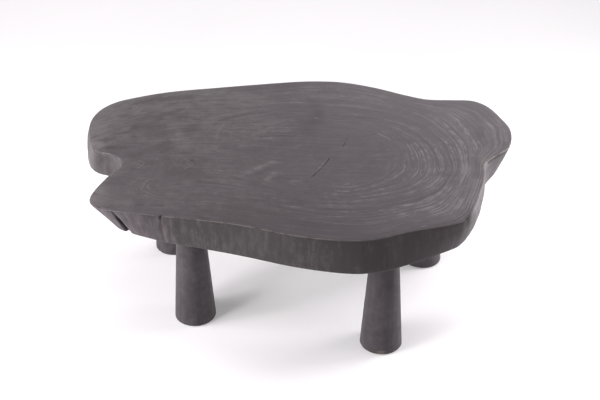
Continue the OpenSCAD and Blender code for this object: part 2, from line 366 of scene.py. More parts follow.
# Heart of a small side stem, on the front left lobe
STEM = (-346.0, -163.0)


def most(tree, marks, places):
    """The strongest of several strokes at each place."""
    found = None
    for *ends, width, strength in marks:
        one = mark(tree, places, ends[:2], ends[2:], width, strength)
        found = one if found is None else tree.math("MAXIMUM", found, one)
    return found


def ring_lines(tree, ring):
    """Narrow raised growth rings, of two spacings and with the strong ones among them."""
    sets = []
    for spacing, slow, swing, power in ((WIDE_RING, 40.0, 5.0, 5.0), (NARROW_RING, 60.0, 9.0, 3.0)):
        turns = tree.times(ring, TURN / spacing)
        turns = tree.plus(turns, tree.times(tree.line_noise(ring, slow, 1.0), swing))
        wave = tree.plus(0.5, tree.times(tree.math("SINE", turns), 0.5))
        sets.append(tree.math("POWER", wave, power))
    lines = tree.plus(sets[0], tree.times(sets[1], 0.6))
    lines = tree.times(lines, tree.range(tree.line_noise(ring, 75.0, 1.0), 0.25, 0.70))
    return tree.math("MAXIMUM", tree.times(lines, 0.75), tree.peaks(ring, STRONG_REACH, STRONG_RINGS))


def lobe_marks(tree, places, shaken, patch, face):
    """The chevrons along the seam of the left lobes, and the faint rings of the small side stem."""
    x, y = tree.split(shaken)[0:2]
    seam_y = (SEAM_Y - MIDDLE[1]) * MM
    wander = tree.times(tree.minus(tree.noise(places, 30.0, 2.0), 0.5), 0.040)
    off = tree.math("ABSOLUTE", tree.minus(tree.plus(y, wander), seam_y))
    fold = tree.plus(x, tree.times(off, 0.9))
    fold = tree.plus(fold, tree.times(tree.noise(places, 65.0, 2.0), 0.022))
    chevron = tree.line_noise(fold, 150.0, 3.0, 0.65)
    near = tree.times(
        tree.range(off, 0.012, 0.040, 1.0, 0.0), face,
        tree.range(x, (SEAM_FROM + 20) * MM, (SEAM_FROM + 70) * MM),
        tree.range(x, (SEAM_TO - 5) * MM, (SEAM_TO - 45) * MM),
        tree.range(tree.noise(places, 90.0, 2.0, 0.6), 0.34, 0.56),
        tree.range(x, -0.38, -0.28, 0.45, 1.0))
    chevron = tree.times(tree.minus(chevron, 0.5), near)

    stem = tuple(on_top(STEM))
    away = tree.vector("LENGTH", tree.vector("SUBTRACT", shaken, stem))
    away = tree.plus(away, wander)
    rings = tree.minus(tree.line_noise(away, 190.0, 3.0, 0.65), 0.5)
    near = tree.times(
        tree.range(away, 0.040, 0.080, 1.0, 0.0), face,
        tree.range(x, stem[0] + 0.015, stem[0] - 0.025), tree.range(patch, 0.34, 0.56))
    return chevron, tree.times(rings, near)


def slab_wood():
    """Matt black stained wood: growth rings on top, upright fibres round the edge."""
    tree = Tree("slab_wood")
    places = tree.places()
    grain = tree.attribute("grain")
    flow = tree.attribute("flow")
    pale, dark, worn = tree.split(tree.attribute("shade"))[0:3]
    side, tint, moss = tree.split(tree.attribute("part"))[0:3]
    left, middle, detail = tree.split(tree.attribute("area"))[0:3]
    face = tree.minus(1.0, side)
    drift = tree.noise(places, 8.0, 2.0)
    shake = tree.node("ShaderNodeTexNoise", {"Vector": places, "Scale": 70.0, "Detail": 3.0})
    shaken = tree.vector("ADD", places, tree.vector("SCALE", shake.outputs["Color"], scale=0.009))
    shaken = tree.vector("SUBTRACT", shaken, (0.0045, 0.0045, 0.0045))
    cloud = tree.noise(places, 4.5, 4.0, 0.55)
    patch = tree.noise(places, 42.0, 4.0, 0.62)
    specks = tree.noise(places, 420.0, 2.0, 0.6)

    # Fibres and streaks: round the heart on the right, end to end on the left, upright outside
    lean = tree.times(tree.math("MAXIMUM", left, middle), face)
    left = tree.times(left, face)
    fibres = tree.node("ShaderNodeMix", {0: lean, 2: tree.noise(grain, 520.0, 3.0, 0.6),
                                         3: tree.noise(flow, 420.0, 3.0, 0.6)}).outputs[0]
    streaks = tree.node("ShaderNodeMix", {0: lean, 2: tree.noise(grain, 150.0, 3.0, 0.6),
                                          3: tree.noise(flow, 120.0, 4.0, 0.65)}).outputs[0]

    # Growth rings: soft bands, and narrow raised lines that come and go; the lines' pale colour is partly
    # grain and partly painted highlight, the light that their relief catches
    ring = tree.plus(tree.split(grain)[0], tree.times(drift, 0.010))
    ring = tree.minus(ring, 0.005)
    busy = tree.range(ring, 0.10, 0.24, 0.80, 1.0)
    bands = tree.line_noise(ring, 55.0, 3.0, 0.6)
    lines = ring_lines(tree, ring)
    # Breaks in the lines, from 8 to 40 mm long
    short = tree.vector("MULTIPLY", grain, (0.55, 4.0, 4.0))
    breaks = tree.range(tree.noise(short, 170.0, 3.0, 0.7), 0.36, 0.62, 0.15, 1.0)
    there = tree.times(tree.range(streaks, 0.34, 0.60, 0.25, 1.0), breaks,
                       tree.range(patch, 0.34, 0.60, 0.25, 1.0))
    lined = tree.times(tree.math("MINIMUM", pale, 1.0), face)
    raised = tree.times(lines, there, lined)
    # Finer lines, dark and pale, that cross the drawn rings here and there
    other = tree.plus(ring, tree.times(tree.noise(places, 14.0, 2.0, 0.5), 0.012))
    weave = tree.minus(tree.line_noise(other, 230.0, 3.0, 0.65), 0.5)
    weave = tree.times(weave, tree.times(lined, breaks))

    # Dark smudges on the left, two or three times as long as they are wide
    smudge = tree.noise(tree.vector("MULTIPLY", flow, (1.0, 5.0, 5.0)), 38.0, 3.0, 0.62)
    smudge = tree.times(tree.range(smudge, 0.46, 0.28, 0.0, 1.0), left)

    chevron, stem_rings = lobe_marks(tree, places, shaken, patch, face)

    tone = tree.plus(0.5, tint)
    fuzz = tree.range(tree.noise(places, 120.0, 3.0, 0.7), 0.36, 0.60, 0.35, 1.0)
    busy = tree.math("MAXIMUM", busy, side)
    band_size = tree.plus(tree.times(face, 0.10), tree.times(lined, 0.40))
    streak_size = tree.plus(0.58, tree.times(lined, 0.30), tree.times(lean, 0.14), tree.times(side, -0.22))
    fibre_size = tree.plus(0.40, tree.times(lean, 0.08), tree.times(side, -0.20))
    # Blotches on the wall, higher than wide
    blotch = tree.noise(tree.vector("MULTIPLY", grain, (1.0, 1.0, 8.0)), 66.0, 4.0, 0.65)
    patch_size = tree.plus(0.30, tree.times(left, 0.22))
    for part, level, size in (
        (fibres, 0.5, fibre_size), (streaks, 0.5, tree.times(busy, streak_size)),
        (patch, 0.5, patch_size), (specks, 0.5, 0.36), (smudge, 0.0, -0.36),
        (blotch, 0.5, side),
    ):
        tone = tree.plus(tone, tree.times(tree.minus(part, level), size, detail))
    for part, level, size in (
        (bands, 0.5, tree.times(busy, band_size)), (cloud, 0.5, 0.55),
        (raised, 0.0, 1.25), (weave, 0.0, 2.20), (chevron, 0.0, 2.2), (stem_rings, 0.0, 1.5),
        (tree.times(fuzz, most(tree, PALE_MARKS, shaken)), 0.0, 0.55),
        (tree.times(fuzz, most(tree, DARK_MARKS, shaken)), 0.0, -0.52),
    ):
        tone = tree.plus(tone, tree.times(tree.minus(part, level), size))
    colour = tree.colours(tone, [
        (0.0, (0.035, 0.0295, 0.0315)), (0.35, (0.058, 0.0490, 0.0530)),
        (0.60, (0.079, 0.0670, 0.0735)), (1.0, (0.160, 0.1505, 0.151)),
    ])
    # The front wall and the left bay lean to green, the right of the upper face to violet
    green = tree.mix(moss, (1, 1, 1, 1), (0.98, 1.035, 0.975, 1), clamp=False)
    colour = tree.vector("MULTIPLY", colour, green)
    rubbed = tree.math("MULTIPLY", worn, tree.range(tree.noise(places, 45.0, 4.0, 0.7), 0.38, 0.60),
                       clamp=True)
    colour = tree.mix(rubbed, colour, (0.215, 0.197, 0.177, 1))
    # Painted shade: near black in the fissure, nick, split, groove, crack and under the rim of the front
    # right corner
    colour = tree.mix(dark, colour, (0.016, 0.014, 0.015, 1))

    height = tree.plus(tree.times(fibres, 0.4), tree.times(streaks, 0.6), tree.times(raised, 0.5))
    rough = tree.plus(0.52, tree.times(tree.minus(fibres, 0.5), 0.25))
    rough = tree.math("ADD", rough, tree.math("MULTIPLY", dark, 0.5), clamp=True)
    return tree.finish(colour, rough, height, 0.0006, 0.45, Specular_IOR_Level=0.215)


def leg_wood():
    """The same stain on turned wood, with the grain upright."""
    tree = Tree("leg_wood")
    places = tree.places()
    upright = tree.vector("MULTIPLY", places, (1.0, 1.0, 0.045))
    fibres = tree.noise(upright, 420.0, 3.0, 0.6)
    streaks = tree.noise(upright, 110.0, 3.0, 0.6)
    cloud = tree.noise(places, 9.0, 3.0, 0.55)
    blotch = tree.noise(places, 55.0, 4.0, 0.65)
    specks = tree.noise(places, 380.0, 2.0, 0.6)
    worn = tree.split(tree.attribute("shade"))[2]
    # Painted shade: darker towards the top of the leg, in the slab's shadow
    high = tree.split(places)[2]
    tone = tree.range(high, 0.15, 0.29, 0.5, 0.26)
    for part, size in ((fibres, 0.28), (streaks, 0.36), (cloud, 0.60), (blotch, 0.80), (specks, 0.36)):
        tone = tree.plus(tone, tree.times(tree.minus(part, 0.5), size))
    colour = tree.colours(tone, [
        (0.0, (0.029, 0.026, 0.028)), (0.4, (0.049, 0.043, 0.046)),
        (0.62, (0.064, 0.057, 0.061)), (1.0, (0.112, 0.102, 0.106)),
    ])
    colour = tree.mix(tree.times(worn, tree.range(specks, 0.3, 0.55)), colour,
                      (0.18, 0.165, 0.135, 1))
    height = tree.plus(tree.times(fibres, 0.5), streaks)
    rough = tree.plus(0.55, tree.times(tree.minus(fibres, 0.5), 0.25))
    return tree.finish(colour, rough, height, 0.0006, 0.4, Specular_IOR_Level=0.215)


def metal(name, light, dark, rough):
    """Plated metal with faint stains and turning marks."""
    tree = Tree(name)
    places = tree.places()
    rings = tree.noise(tree.vector("MULTIPLY", places, (0.2, 0.2, 1.0)), 1500.0, 2.0)
    stain = tree.noise(places, 140.0, 4.0, 0.6)
    colour = tree.colours(stain, [(0.3, dark), (0.7, light)])
    shine = tree.plus(rough, tree.times(tree.minus(stain, 0.5), 0.3))
    return tree.finish(colour, shine, rings, 0.0002, 0.3, Metallic=1.0)


def felt():
    """Dense dark felt with a loose nap."""
    tree = Tree("pad_felt")
    places = tree.places()
    nap = tree.noise(places, 900.0, 4.0, 0.7)
    cloud = tree.noise(places, 60.0, 3.0)
    tone = tree.plus(tree.times(nap, 0.6), tree.times(cloud, 0.4))
    colour = tree.colours(tone, [(0.3, (0.010, 0.010, 0.012)), (0.7, (0.035, 0.034, 0.038))])
    return tree.finish(colour, 0.95, nap, 0.0005, 0.8, Sheen_Weight=0.4)


# The live edge

def edge_at(u):
    """The edge's five values and its direction at places u, counted in rows of EDGE."""
    row = np.floor(u).astype(int)
    t = (u - row)[:, None]
    a, b, c, d = (EDGE[(row + k) % len(EDGE)] for k in (-1, 0, 1, 2))
    value = (2 * b + (c - a) * t + (2 * a - 5 * b + 4 * c - d) * t**2
             + (3 * b - a - 3 * c + d) * t**3) / 2
    slope = ((c - a) + 2 * (2 * a - 5 * b + 4 * c - d) * t
             + 3 * (3 * b - a - 3 * c + d) * t**2) / 2
    along = slope[:, :2] / np.linalg.norm(slope[:, :2], axis=1)[:, None]
    return value, along


# Places on the edge, in rows of EDGE
FISSURE_U = 30.85
NICK_U = 30.0
# Groove under the right lobe's rim: start, full depth, fading, end
GROOVE_U = 16.8, 17.2, 18.5, 18.75
# Columns stand closer here: place, half width, how much closer
FINE = [(FISSURE_U, 0.16, 3.0), (NICK_U, 0.14, 2.0), (28.3, 0.25, 1.2), (18.4, 0.5, 0.8)]


def column_places():
    """Where each column meets the edge, in rows of EDGE and in parts of a turn, and the edge's length.

    The steps are even, and closer at the places in FINE."""
    fine = np.linspace(0, len(EDGE), 12001)
    value, _ = edge_at(fine)
    step = np.linalg.norm(np.diff(value[:, :2], axis=0), axis=1)
    half = (fine[1:] + fine[:-1]) / 2
    weight = np.ones(len(half))
    for place, width, more in FINE:
        weight += more * bump(half, place, width)
    run = np.concatenate([[0], np.cumsum(step * weight)])
    length = np.concatenate([[0], np.cumsum(step)])
    u = np.interp(np.arange(COLUMNS) * run[-1] / COLUMNS, run, fine)
    return u, np.interp(u, fine, length) / length[-1], length[-1]


U, ROUND, RIM_LENGTH = column_places()
RIM, ALONG = edge_at(U)
OUTWARD = np.stack([-ALONG[:, 1], ALONG[:, 0]], axis=1)
FLUTES = ripples(ROUND, 14, 190, 0.75)
DRIFT = ripples(ROUND, 10, 120, 0.6)
DENTS = ripples(ROUND, 12, 70, 0.5)


def groove():
    """Where the groove under the right lobe's rim runs, for each column."""
    start, full, fading, end = GROOVE_U
    return ramp(U, start, full) * ramp(U, end, fading)


def relief(part):
    """How far the wall stands out at this part of the depth, beyond part.scad's own wall."""
    middle = math.sin(math.pi * min(max(part, 0.0), 1.0)) ** 0.5
    out = (1.0 * FLUTES + 1.2 * (part - 0.5) * DRIFT + 0.6 * math.sin(TURN * part) * DENTS) * middle
    # The facet left of the nick was rubbed smoother
    out *= 1 - 0.6 * ramp(U, 30.1, 30.3) * ramp(U, 31.2, 31.0)
    # Open fissure down the wall of the front left lobe, a fine crack at the rim
    depth = 0.7 + 1.8 * ramp(part, 0.0, 0.06) + 17 * ramp(part, 0.1, 0.6)
    out -= depth * bump(U, FISSURE_U, 0.014 + 0.045 * part)
    # Nick at the rim, a faint split below it, the ridge to its right and the hollow beside that
    out -= 4.0 * bump(U, NICK_U + 0.005, 0.03) * bump(part, 0.06, 0.06)
    out -= 0.8 * bump(U, NICK_U + 0.02, 0.035) * middle
    out += 2.0 * bump(U, NICK_U - 0.11, 0.09) * middle
    out -= 1.8 * bump(U, 29.45, 0.12) * middle
    # Hollow in the wall of the left bay
    out -= 7.0 * bump(U, 36.45, 0.36) * bump(part, 0.33, 0.22)
    # Groove under the right lobe's rim, and the rib beside the right hollow
    out -= 2.6 * groove() * bump(part, 0.11, 0.045)
    out += 2.0 * bump(U, 18.5, 0.35) * bump(part, 0.5, 0.3)
    return out


def wall_ring(part, inset, sink=0.0):
    """One ring of the wall: part of the depth, and how far the rounded edge pulls it in."""
    out = RIM[:, 4] * math.sin(math.pi * part) - inset + relief(part)
    xy = RIM[:, :2] + RIM[:, 2:4] * part + OUTWARD * out[:, None] - MIDDLE
    return np.column_stack([xy, np.full(len(xy), SLAB_TOP_Z - SLAB_T * part - sink)])


# Growth rings

# Rings that the photograph shows: length along the field in m, and points round the heart in mm
RINGS = [
    (0.185, [
        (270, 20), (262, 42), (235, 72), (205, 105), (170, 112), (130, 115), (60, 110), (0, 82), (-30, 50),
        (-45, 0), (-50, -50), (-30, -100), (20, -150), (35, -165), (60, -180), (95, -192), (130, -193),
        (165, -182), (200, -160), (222, -145), (250, -115), (270, -90), (272, -40)]),
    (0.284, [
        (365, 10), (340, 75), (300, 135), (250, 165), (200, 180), (150, 188), (100, 195), (60, 200),
        (0, 205), (-50, 208), (-100, 207), (-150, 192), (-190, 175), (-205, 150), (-215, 95), (-205, 0),
        (-190, -60), (-165, -130), (-120, -175), (-60, -200), (0, -215), (80, -228), (150, -228),
        (220, -215), (280, -200), (320, -175), (355, -135), (370, -90), (372, -40)]),
    (0.352, [
        (437, 0), (430, 60), (405, 130), (380, 180), (330, 240), (250, 290), (150, 330), (50, 345),
        (-50, 335), (-200, 310), (-350, 285), (-450, 220), (-480, 100), (-440, 0), (-420, -60),
        (-430, -130), (-440, -210), (-400, -245), (-328, -262), (-245, -275), (-138, -292), (0, -330),
        (118, -350), (190, -345), (262, -318), (340, -285), (372, -250), (400, -190), (420, -130),
        (435, -90), (440, -60)]),
]
RIM_RING = 0.398
# Knots that turn the end to end grain round themselves: x, y, half width in mm, lift in m
KNOTS = [
    (-378, 96, 42, 0.020), (-290, 125, 34, 0.014), (-370, -150, 46, 0.040), (-370, 22, 26, 0.014),
    (-470, 190, 30, 0.010), (-75, -105, 45, 0.020), (-440, -60, 60, 0.030),
]
# The radial crack's stretches: x and y of the start and of the end, half width, depth
CRACK = [
    (30, -127, 56, -81, 1.1, 3.7), (58, -77, 66, -62, 0.8, 2.2), (66, -61, 79, -31, 1.0, 3.8),
    (115, 28, 120, 45, 1.0, 3.4), (120, 46, 133, 84, 0.7, 0.8),
]


def ring_field(xy):
    """Length along the rings in m, and the angle round the heart, at places on the outline."""
    angles = np.linspace(-math.pi, math.pi, 721)[:-1]
    contours = [np.zeros(len(angles))]
    for points in [drawn for _, drawn in RINGS] + [RIM[:, :2]]:
        arms = np.array(points, float) - HEART
        theta = np.arctan2(arms[:, 1], arms[:, 0])
        order = np.argsort(theta)
        radius = np.interp(angles, theta[order], np.linalg.norm(arms, axis=1)[order], period=TURN)
        contours.append(radius)
    spread = np.exp(-(np.arange(-24, 25) / 9.0) ** 2)
    spread /= spread.sum()
    for k in range(1, 4):
        around = np.concatenate([contours[k][-24:], contours[k], contours[k][:24]])
        contours[k] = np.convolve(around, spread, "valid")
    contours.append(contours[-1] * 1.15)
    drawn = [0.0] + [length for length, _ in RINGS] + [RIM_RING, RIM_RING + 0.06]
    levels = np.linspace(0, drawn[-1], 90)
    family = np.array([np.interp(levels, drawn, column) for column in np.array(contours).T]).T
    # No kink where one drawn ring passes into the next gap
    for _ in range(24):
        family[1:-1] = 0.25 * family[:-2] + 0.5 * family[1:-1] + 0.25 * family[2:]

    place = xy - HEART
    angle = np.arctan2(place[:, 1], place[:, 0])
    length = np.linalg.norm(place, axis=1)
    column = (angle + math.pi) / TURN * len(angles)
    first = np.floor(column).astype(int)
    part = column - first
    here = family[:, first % len(angles)] * (1 - part) + family[:, (first + 1) % len(angles)] * part
    row = np.clip((here < length).sum(axis=0) - 1, 0, len(levels) - 2)
    each = np.arange(len(length))
    low, high = here[row, each], here[row + 1, each]
    ring = levels[row] + (length - low) / (high - low) * levels[1]
    return ring, angle


def flow_field(xy):
    """Place across the grain in m where it runs from end to end, between the back and the front."""
    x, y = xy[:, 0], xy[:, 1]
    back = np.polyval(np.polyfit(EDGE[0:17, 0], EDGE[0:17, 1], 4), x)
    front = np.polyval(np.polyfit(EDGE[22:34, 0], EDGE[22:34, 1], 4), x)
    across = (y - front) / (back - front) * 0.70
    for at_x, at_y, wide, lift in KNOTS:
        across += lift * np.exp(-((x - at_x) ** 2 + (y - at_y) ** 2) / (2 * wide**2))
    return across


def top_height(xy):
    """Rise of the upper face in mm, a little uneven with the crack cut in, and the crack's depth."""
    x, y = xy[:, 0], xy[:, 1]
    rise = 0.35 * np.sin(x / 61 + 1.0) * np.sin(y / 47) + 0.25 * np.sin(x / 23 - y / 31)
    cut = np.zeros(len(x))
    for *ends, width, depth in CRACK:
        cut = np.maximum(cut, depth * ramp(from_stroke(xy, ends[:2], ends[2:]), width, 0.25 * width))
    return rise - cut, cut


# The slab

# Stain of the upper face, lighter or darker: rows for hills(); the first row, darker over the front
# middle, is painted shade
TINT_HILLS = [
    (120, -290, 260, 110, -0.15), (200, 20, 130, 130, -0.08), (-60, 110, 110, 70, 0.10),
    (-230, 125, 150, 70, 0.14), (-215, -50, 90, 80, 0.07), (-280, -185, 60, 60, 0.07),
    (325, -275, 80, 45, 0.17), (-445, 65, 60, 35, 0.10), (190, -40, 70, 90, -0.07),
    (170, 205, 120, 45, -0.09), (530, 135, 40, 50, 0.09), (260, 80, 110, 110, -0.05),
    (-300, 55, 110, 32, 0.07), (180, -60, 120, 70, -0.05),
]
# Where the pale raised rings show
PALE_HILLS = [
    (345, -40, 140, 180, 1.0), (150, -285, 190, 60, 0.45), (130, -185, 130, 32, 0.85),
    (60, 250, 260, 90, 0.10), (470, 100, 60, 120, 0.30), (345, -240, 90, 60, 0.80),
]
# Where the fibres, streaks and specks are stronger or softer
DETAIL_HILLS = [
    (-440, -200, 70, 70, -0.26), (-170, 197, 100, 60, -0.24), (150, -330, 120, 40, -0.25),
    (-45, -245, 170, 55, 0.95), (-30, 60, 150, 90, 0.35), (170, -60, 120, 90, 0.75),
    (225, 0, 50, 80, 0.80),
]


def rounded(radius, angle):
    """Depth and inset of a rounded edge, at an angle in degrees from the flat face."""
    angle = math.radians(angle)
    return radius * (1 - math.cos(angle)), radius * (1 - math.sin(angle))


def wall_rings():
    """Rings of the wall from the upper round to the lower one, and the part of the depth of each."""
    rows = []
    for angle in (0, 18, 36, 54, 72, 90):
        depth, inset = rounded(UPPER_ROUND, angle)
        rows.append((depth / SLAB_T, inset, WORN_RIM * math.cos(math.radians(angle))))
    first, last = UPPER_ROUND / SLAB_T, 1 - LOWER_ROUND / SLAB_T
    for k in range(1, WALL_ROWS):
        rows.append((first + (last - first) * k / WALL_ROWS, 0))
    for angle in (90, 60, 30, 0):
        depth, inset = rounded(LOWER_ROUND, angle)
        rows.append(((SLAB_T - depth) / SLAB_T, inset))
    return [wall_ring(*row) for row in rows], [row[0] for row in rows]


def top_rings(heart):
    """Rings of the upper face, from the rim in to the heart."""
    # From the plain rim, because rings with the fissure and the nick in them would fold
    rim = RIM[:, :2] - OUTWARD * UPPER_ROUND - MIDDLE
    rings = []
    for k in range(1, TOP_ROWS):
        xy = heart + (rim - heart) * (1 - k / TOP_ROWS)
        rise, _ = top_height(xy + MIDDLE)
        rise = rise * ramp(k / TOP_ROWS, 0.0, 0.05) - WORN_RIM * math.exp(-1.1 * k)
        rings.append(np.column_stack([xy, SLAB_TOP_Z + rise]))
    return rings


def under_border(low):
    """Ring just inside the wall's lowest one, which keeps the round's shading off the underside."""
    along = np.roll(low, -1, axis=0) - np.roll(low, 1, axis=0)
    along /= np.linalg.norm(along, axis=1)[:, None]
    border = low + UNDER_BORDER * np.stack([along[:, 1], -along[:, 0]], axis=1)
    return np.column_stack([border, np.full(len(border), SLAB_Z)])


def slab_faces(wall_n, top_n):
    """Faces of the slab, and a side for each: 1 has the wall's grain, 0 the upper face's.

    The columns run clockwise seen from above, so all these faces point inwards."""
    n = COLUMNS
    faces, sides = [], []

    def add(more, side):
        faces.extend(more)
        sides.extend([side] * len(more))

    for k in range(wall_n - 1):
        add(ring_quads(k, k + 1, n), 0.0 if k < RIM_ROWS else 1.0)
    under = wall_n + top_n
    order = [0, *range(wall_n, under)]
    for a, b in zip(order[1:], order):
        add(ring_quads(a, b, n), 0.0)
    add(fan((under + 1) * n, (under - 1) * n, n), 0.0)
    add(ring_quads(wall_n - 1, under, n), 1.0)
    add([tuple(range((under + 1) * n - 1, under * n - 1, -1))], 1.0)
    return faces, sides


def top_stain_and_sheen(plan):
    """Stain of the upper face at places on the drawn outline, with painted sheen towards the back and
    painted shade over the front middle.
    """
    x, y = plan[:, 0], plan[:, 1]
    # The first term, lighter towards the back, is painted sheen
    tint = 0.13 * ramp(y, 60, 330) * ramp(x, 330, 120) + 0.10 * ramp(x, 250, 480) * ramp(y, -120, 200)
    tint += 0.10 * ramp(x, -120, -420)
    tint += 0.08 * ramp(x, -60, -220) * ramp(y, 120, 240)
    tint += 0.26 * ramp(x, -430, -550) * ramp(y, -10, 40) * ramp(y, 185, 100)
    tint += 0.28 * ramp(x, -440, -500) * ramp(y, -140, -190)
    tint += hills(plan, TINT_HILLS)
    for *ends, width, strength in PATCHES:
        tint += strength * bump(from_stroke(plan, ends[:2], ends[2:]), 0, width)
    return tint


def top_grain(plan):
    """For the upper face: where the grain runs end to end, where across, its strength, pale rings."""
    x, y = plan[:, 0], plan[:, 1]
    ends = ramp(x, -150, -290)
    inner = np.hypot((x - 60) / 1.15, y - 5)
    across = np.maximum(0.9 * ramp(inner, 195, 140), ramp(x, -20, -190))
    detail = 1 - 0.36 * ramp(x, -130, -300) + hills(plan, DETAIL_HILLS)
    pale = 0.16 + hills(plan, PALE_HILLS)
    pale *= 0.10 + 0.90 * ramp(inner, 140, 195)
    pale *= (0.12 + 0.88 * ramp(x, -140, 150)) * (1 - ends)
    return ends, across, detail, pale


def wall_shade_and_wear(parts):
    """Painted shade and real wear of the wall, for each point of its rings."""
    front = ramp(U, 22.0, 23.5) * ramp(U, 31.6, 30.9) * (1 - 0.75 * ramp(U, 26.6, 25.6))
    bay = ramp(U, 33.6, 34.2) * ramp(U, 37.6, 37.0)
    lobe = ramp(U, 16.6, 17.0) * ramp(U, 19.6, 19.2)
    rubbed = 0.62 * front + 0.95 * bay + 2.3 * lobe + 0.04
    dark, worn = [], []
    for part in parts:
        # Painted shade: dark in the fissure, darker lower down, in the nick and the split below it, in the
        # groove, and in a band under the rim of the front right corner
        shade = (0.25 + 0.7 * ramp(part, 0.2, 0.6)) * bump(U, FISSURE_U, 0.010 + 0.036 * part)
        shade += 0.75 * bump(U, NICK_U + 0.005, 0.028) * bump(part, 0.05, 0.06)
        shade += 0.15 * bump(U, NICK_U + 0.02, 0.025)
        shade += 0.80 * groove() * bump(part, 0.09, 0.035)
        shade += 0.64 * bump(U, 21.92, 0.44) * ramp(part, 0.42, 0.12) * ramp(part, 0.0, 0.0127)
        dark.append(np.clip(shade, 0, 0.95))
        worn.append(rubbed * bump(part * SLAB_T, 1.15, 0.6) * (1 - np.clip(shade, 0, 1)))
    return np.concatenate(dark), np.concatenate(worn)


def wall_stain_and_shade(u, part):
    """Stain of the wall at places on the edge and parts of the depth, with painted shade under the rim of
    the front right corner.
    """
    tint = np.interp(u, *WALL_TINTS.T)
    # Darker towards the rim and lighter lower down, right of the nick and further right; painted shade
    # under the rim of the front right corner
    tint += (part - 0.45) * 0.22 * ramp(u, 29.0, 29.25) * ramp(u, 29.85, 29.7)
    tint += (part - 0.45) * 0.26 * bump(u, 28.15, 0.16)
    tint -= 0.34 * bump(u, 21.9, 0.45) * ramp(part, 0.35, 0.05)
    # Dark along the foot of that corner, with a paler place beside it
    tint -= 0.15 * bump(u, 23.4, 0.5) * ramp(part, 0.45, 0.9)
    tint += 0.16 * bump(u, 22.5, 0.3) * ramp(part, 0.25, 0.6)
    return tint


def build_slab(material):
    """The slab's fine mesh, with all that its material reads stored for each face corner."""
    n = COLUMNS
    heart = HEART - MIDDLE
    rings, parts = wall_rings()
    upper = top_rings(heart)
    border = under_border(rings[-1][:, :2])
    points = np.concatenate(rings + upper + [border, [[*heart, SLAB_TOP_Z]]])
    faces, sides = slab_faces(len(rings), len(upper))
    slab = new_mesh("slab_top_visual", points, faces, material)

    plan = points[:, :2] + MIDDLE
    x, y = plan[:, 0], plan[:, 1]
    wall = slice(0, len(rings) * n)
    top = slice(wall.stop, wall.stop + len(upper) * n)
    under = slice(top.stop, top.stop + n)
    # Points of the wall below the rows that look like the upper face
    low = np.repeat(np.arange(len(rings)) >= RIM_ROWS, n)
    u = np.tile(U, len(rings))

    # Directions of the grain: round the heart, upright on the wall, from end to end
    ring, angle = ring_field(plan)
    grain_top = np.column_stack([ring, 0.016 * np.cos(angle), 0.016 * np.sin(angle)])
    spin = TURN * np.append(np.tile(ROUND, len(points) // n), 0)
    size = RIM_LENGTH * MM / TURN
    grain_side = np.column_stack([
        size * np.cos(spin), size * np.sin(spin), 0.045 * (points[:, 2] - SLAB_Z) * MM])
    grain_side[under] = np.column_stack([y[under] * MM, x[under] * MM * 0.05, np.zeros(n)])
    flow = np.column_stack([flow_field(plan), 0.10 * x * MM, 0.02 * y * MM])

    ends, across, detail, pale = top_grain(plan)
    detail[wall] = np.where(low, np.interp(u, *WALL_DETAIL.T), detail[wall])
    detail[under] = 1
    dark, worn = np.zeros((2, len(points)))
    dark[wall], worn[wall] = wall_shade_and_wear(parts)
    # Painted shade in the crack, darker where it is deeper
    dark[top] = 0.75 * ramp(top_height(plan[top])[1], 0.3, 2.2)
    tint = top_stain_and_sheen(plan)
    tint[wall] = np.where(low, wall_stain_and_shade(u, np.repeat(parts, n)), tint[wall])
    tint[under] = WALL_TINTS[0, 1]
    # Green above zero, violet below it: the upper face round the heart and to the right
    moss = 0.12 * ramp(x, -150, -320) - 0.65 * ramp(x, -160, 120)
    green = ramp(u, 25.6, 27.2) * ramp(u, 30.1, 29.5) + 0.9 * ramp(u, 34.3, 34.8) * ramp(u, 37.8, 37.2)
    moss[wall] = low * green
    moss[under] = 0

    corner = corner_points(slab.data)
    side = np.repeat(sides, [len(face) for face in faces])
    for name, values in (
        ("grain", np.where(side[:, None] > 0.5, grain_side[corner], grain_top[corner])),
        ("shade", np.column_stack([pale, dark, worn])[corner]), ("flow", flow[corner]),
        ("part", np.column_stack([side, tint[corner], moss[corner]])),
        ("area", np.column_stack([ends, across, detail])[corner]),
    ):
        put_corners(slab.data, name, values)
    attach(slab, "root")
    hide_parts("slab_top")
    return slab


# The legs

FOOT_R = 54.5
TOP_R = 33.0
FOOT_ROUND = 3.0
# Rounded edge round the top of a leg
TOP_EDGE = 1.0
# Height of the foot above the floor, for the felt pad
FOOT_Z = 2.0
BORE_R = 5.1
BORE_DEPTH = 52.0
LEG_COLUMNS = 120
LEG_ROWS = 56
# The cone is this much thinner than the solid, so that its flats stay inside the solid's box
SKIM = 0.15
# The leg with a small flake off its foot: middle and half width, in parts of a turn and in height
CHIP_LEG = "front_right"
CHIP_TURN, CHIP_HEIGHT = (0.742, 0.028), (9, 4.5)


def leg_profile():
    """Radius and height from the bore's end over the top and down to the foot; where the cone starts."""
    profile = [(0.0, SLAB_Z - BORE_DEPTH), (BORE_R, SLAB_Z - BORE_DEPTH), (BORE_R, SLAB_Z),
               (TOP_R - TOP_EDGE, SLAB_Z), (TOP_R - 0.3, SLAB_Z - 0.3), (TOP_R, SLAB_Z - TOP_EDGE)]
    turned = len(profile)
    z_low = FOOT_Z + FOOT_ROUND
    for k in range(1, LEG_ROWS):
        t = k / LEG_ROWS
        z = SLAB_Z - TOP_EDGE - (SLAB_Z - TOP_EDGE - z_low) * t
        profile.append((TOP_R + (FOOT_R - TOP_R) * t, z))
    for a in range(0, 91, 15):
        a = math.radians(a)
        profile.append((FOOT_R - FOOT_ROUND * (1 - math.cos(a)), z_low - FOOT_ROUND * math.sin(a)))
    profile.append((0.0, FOOT_Z))
    return profile, turned


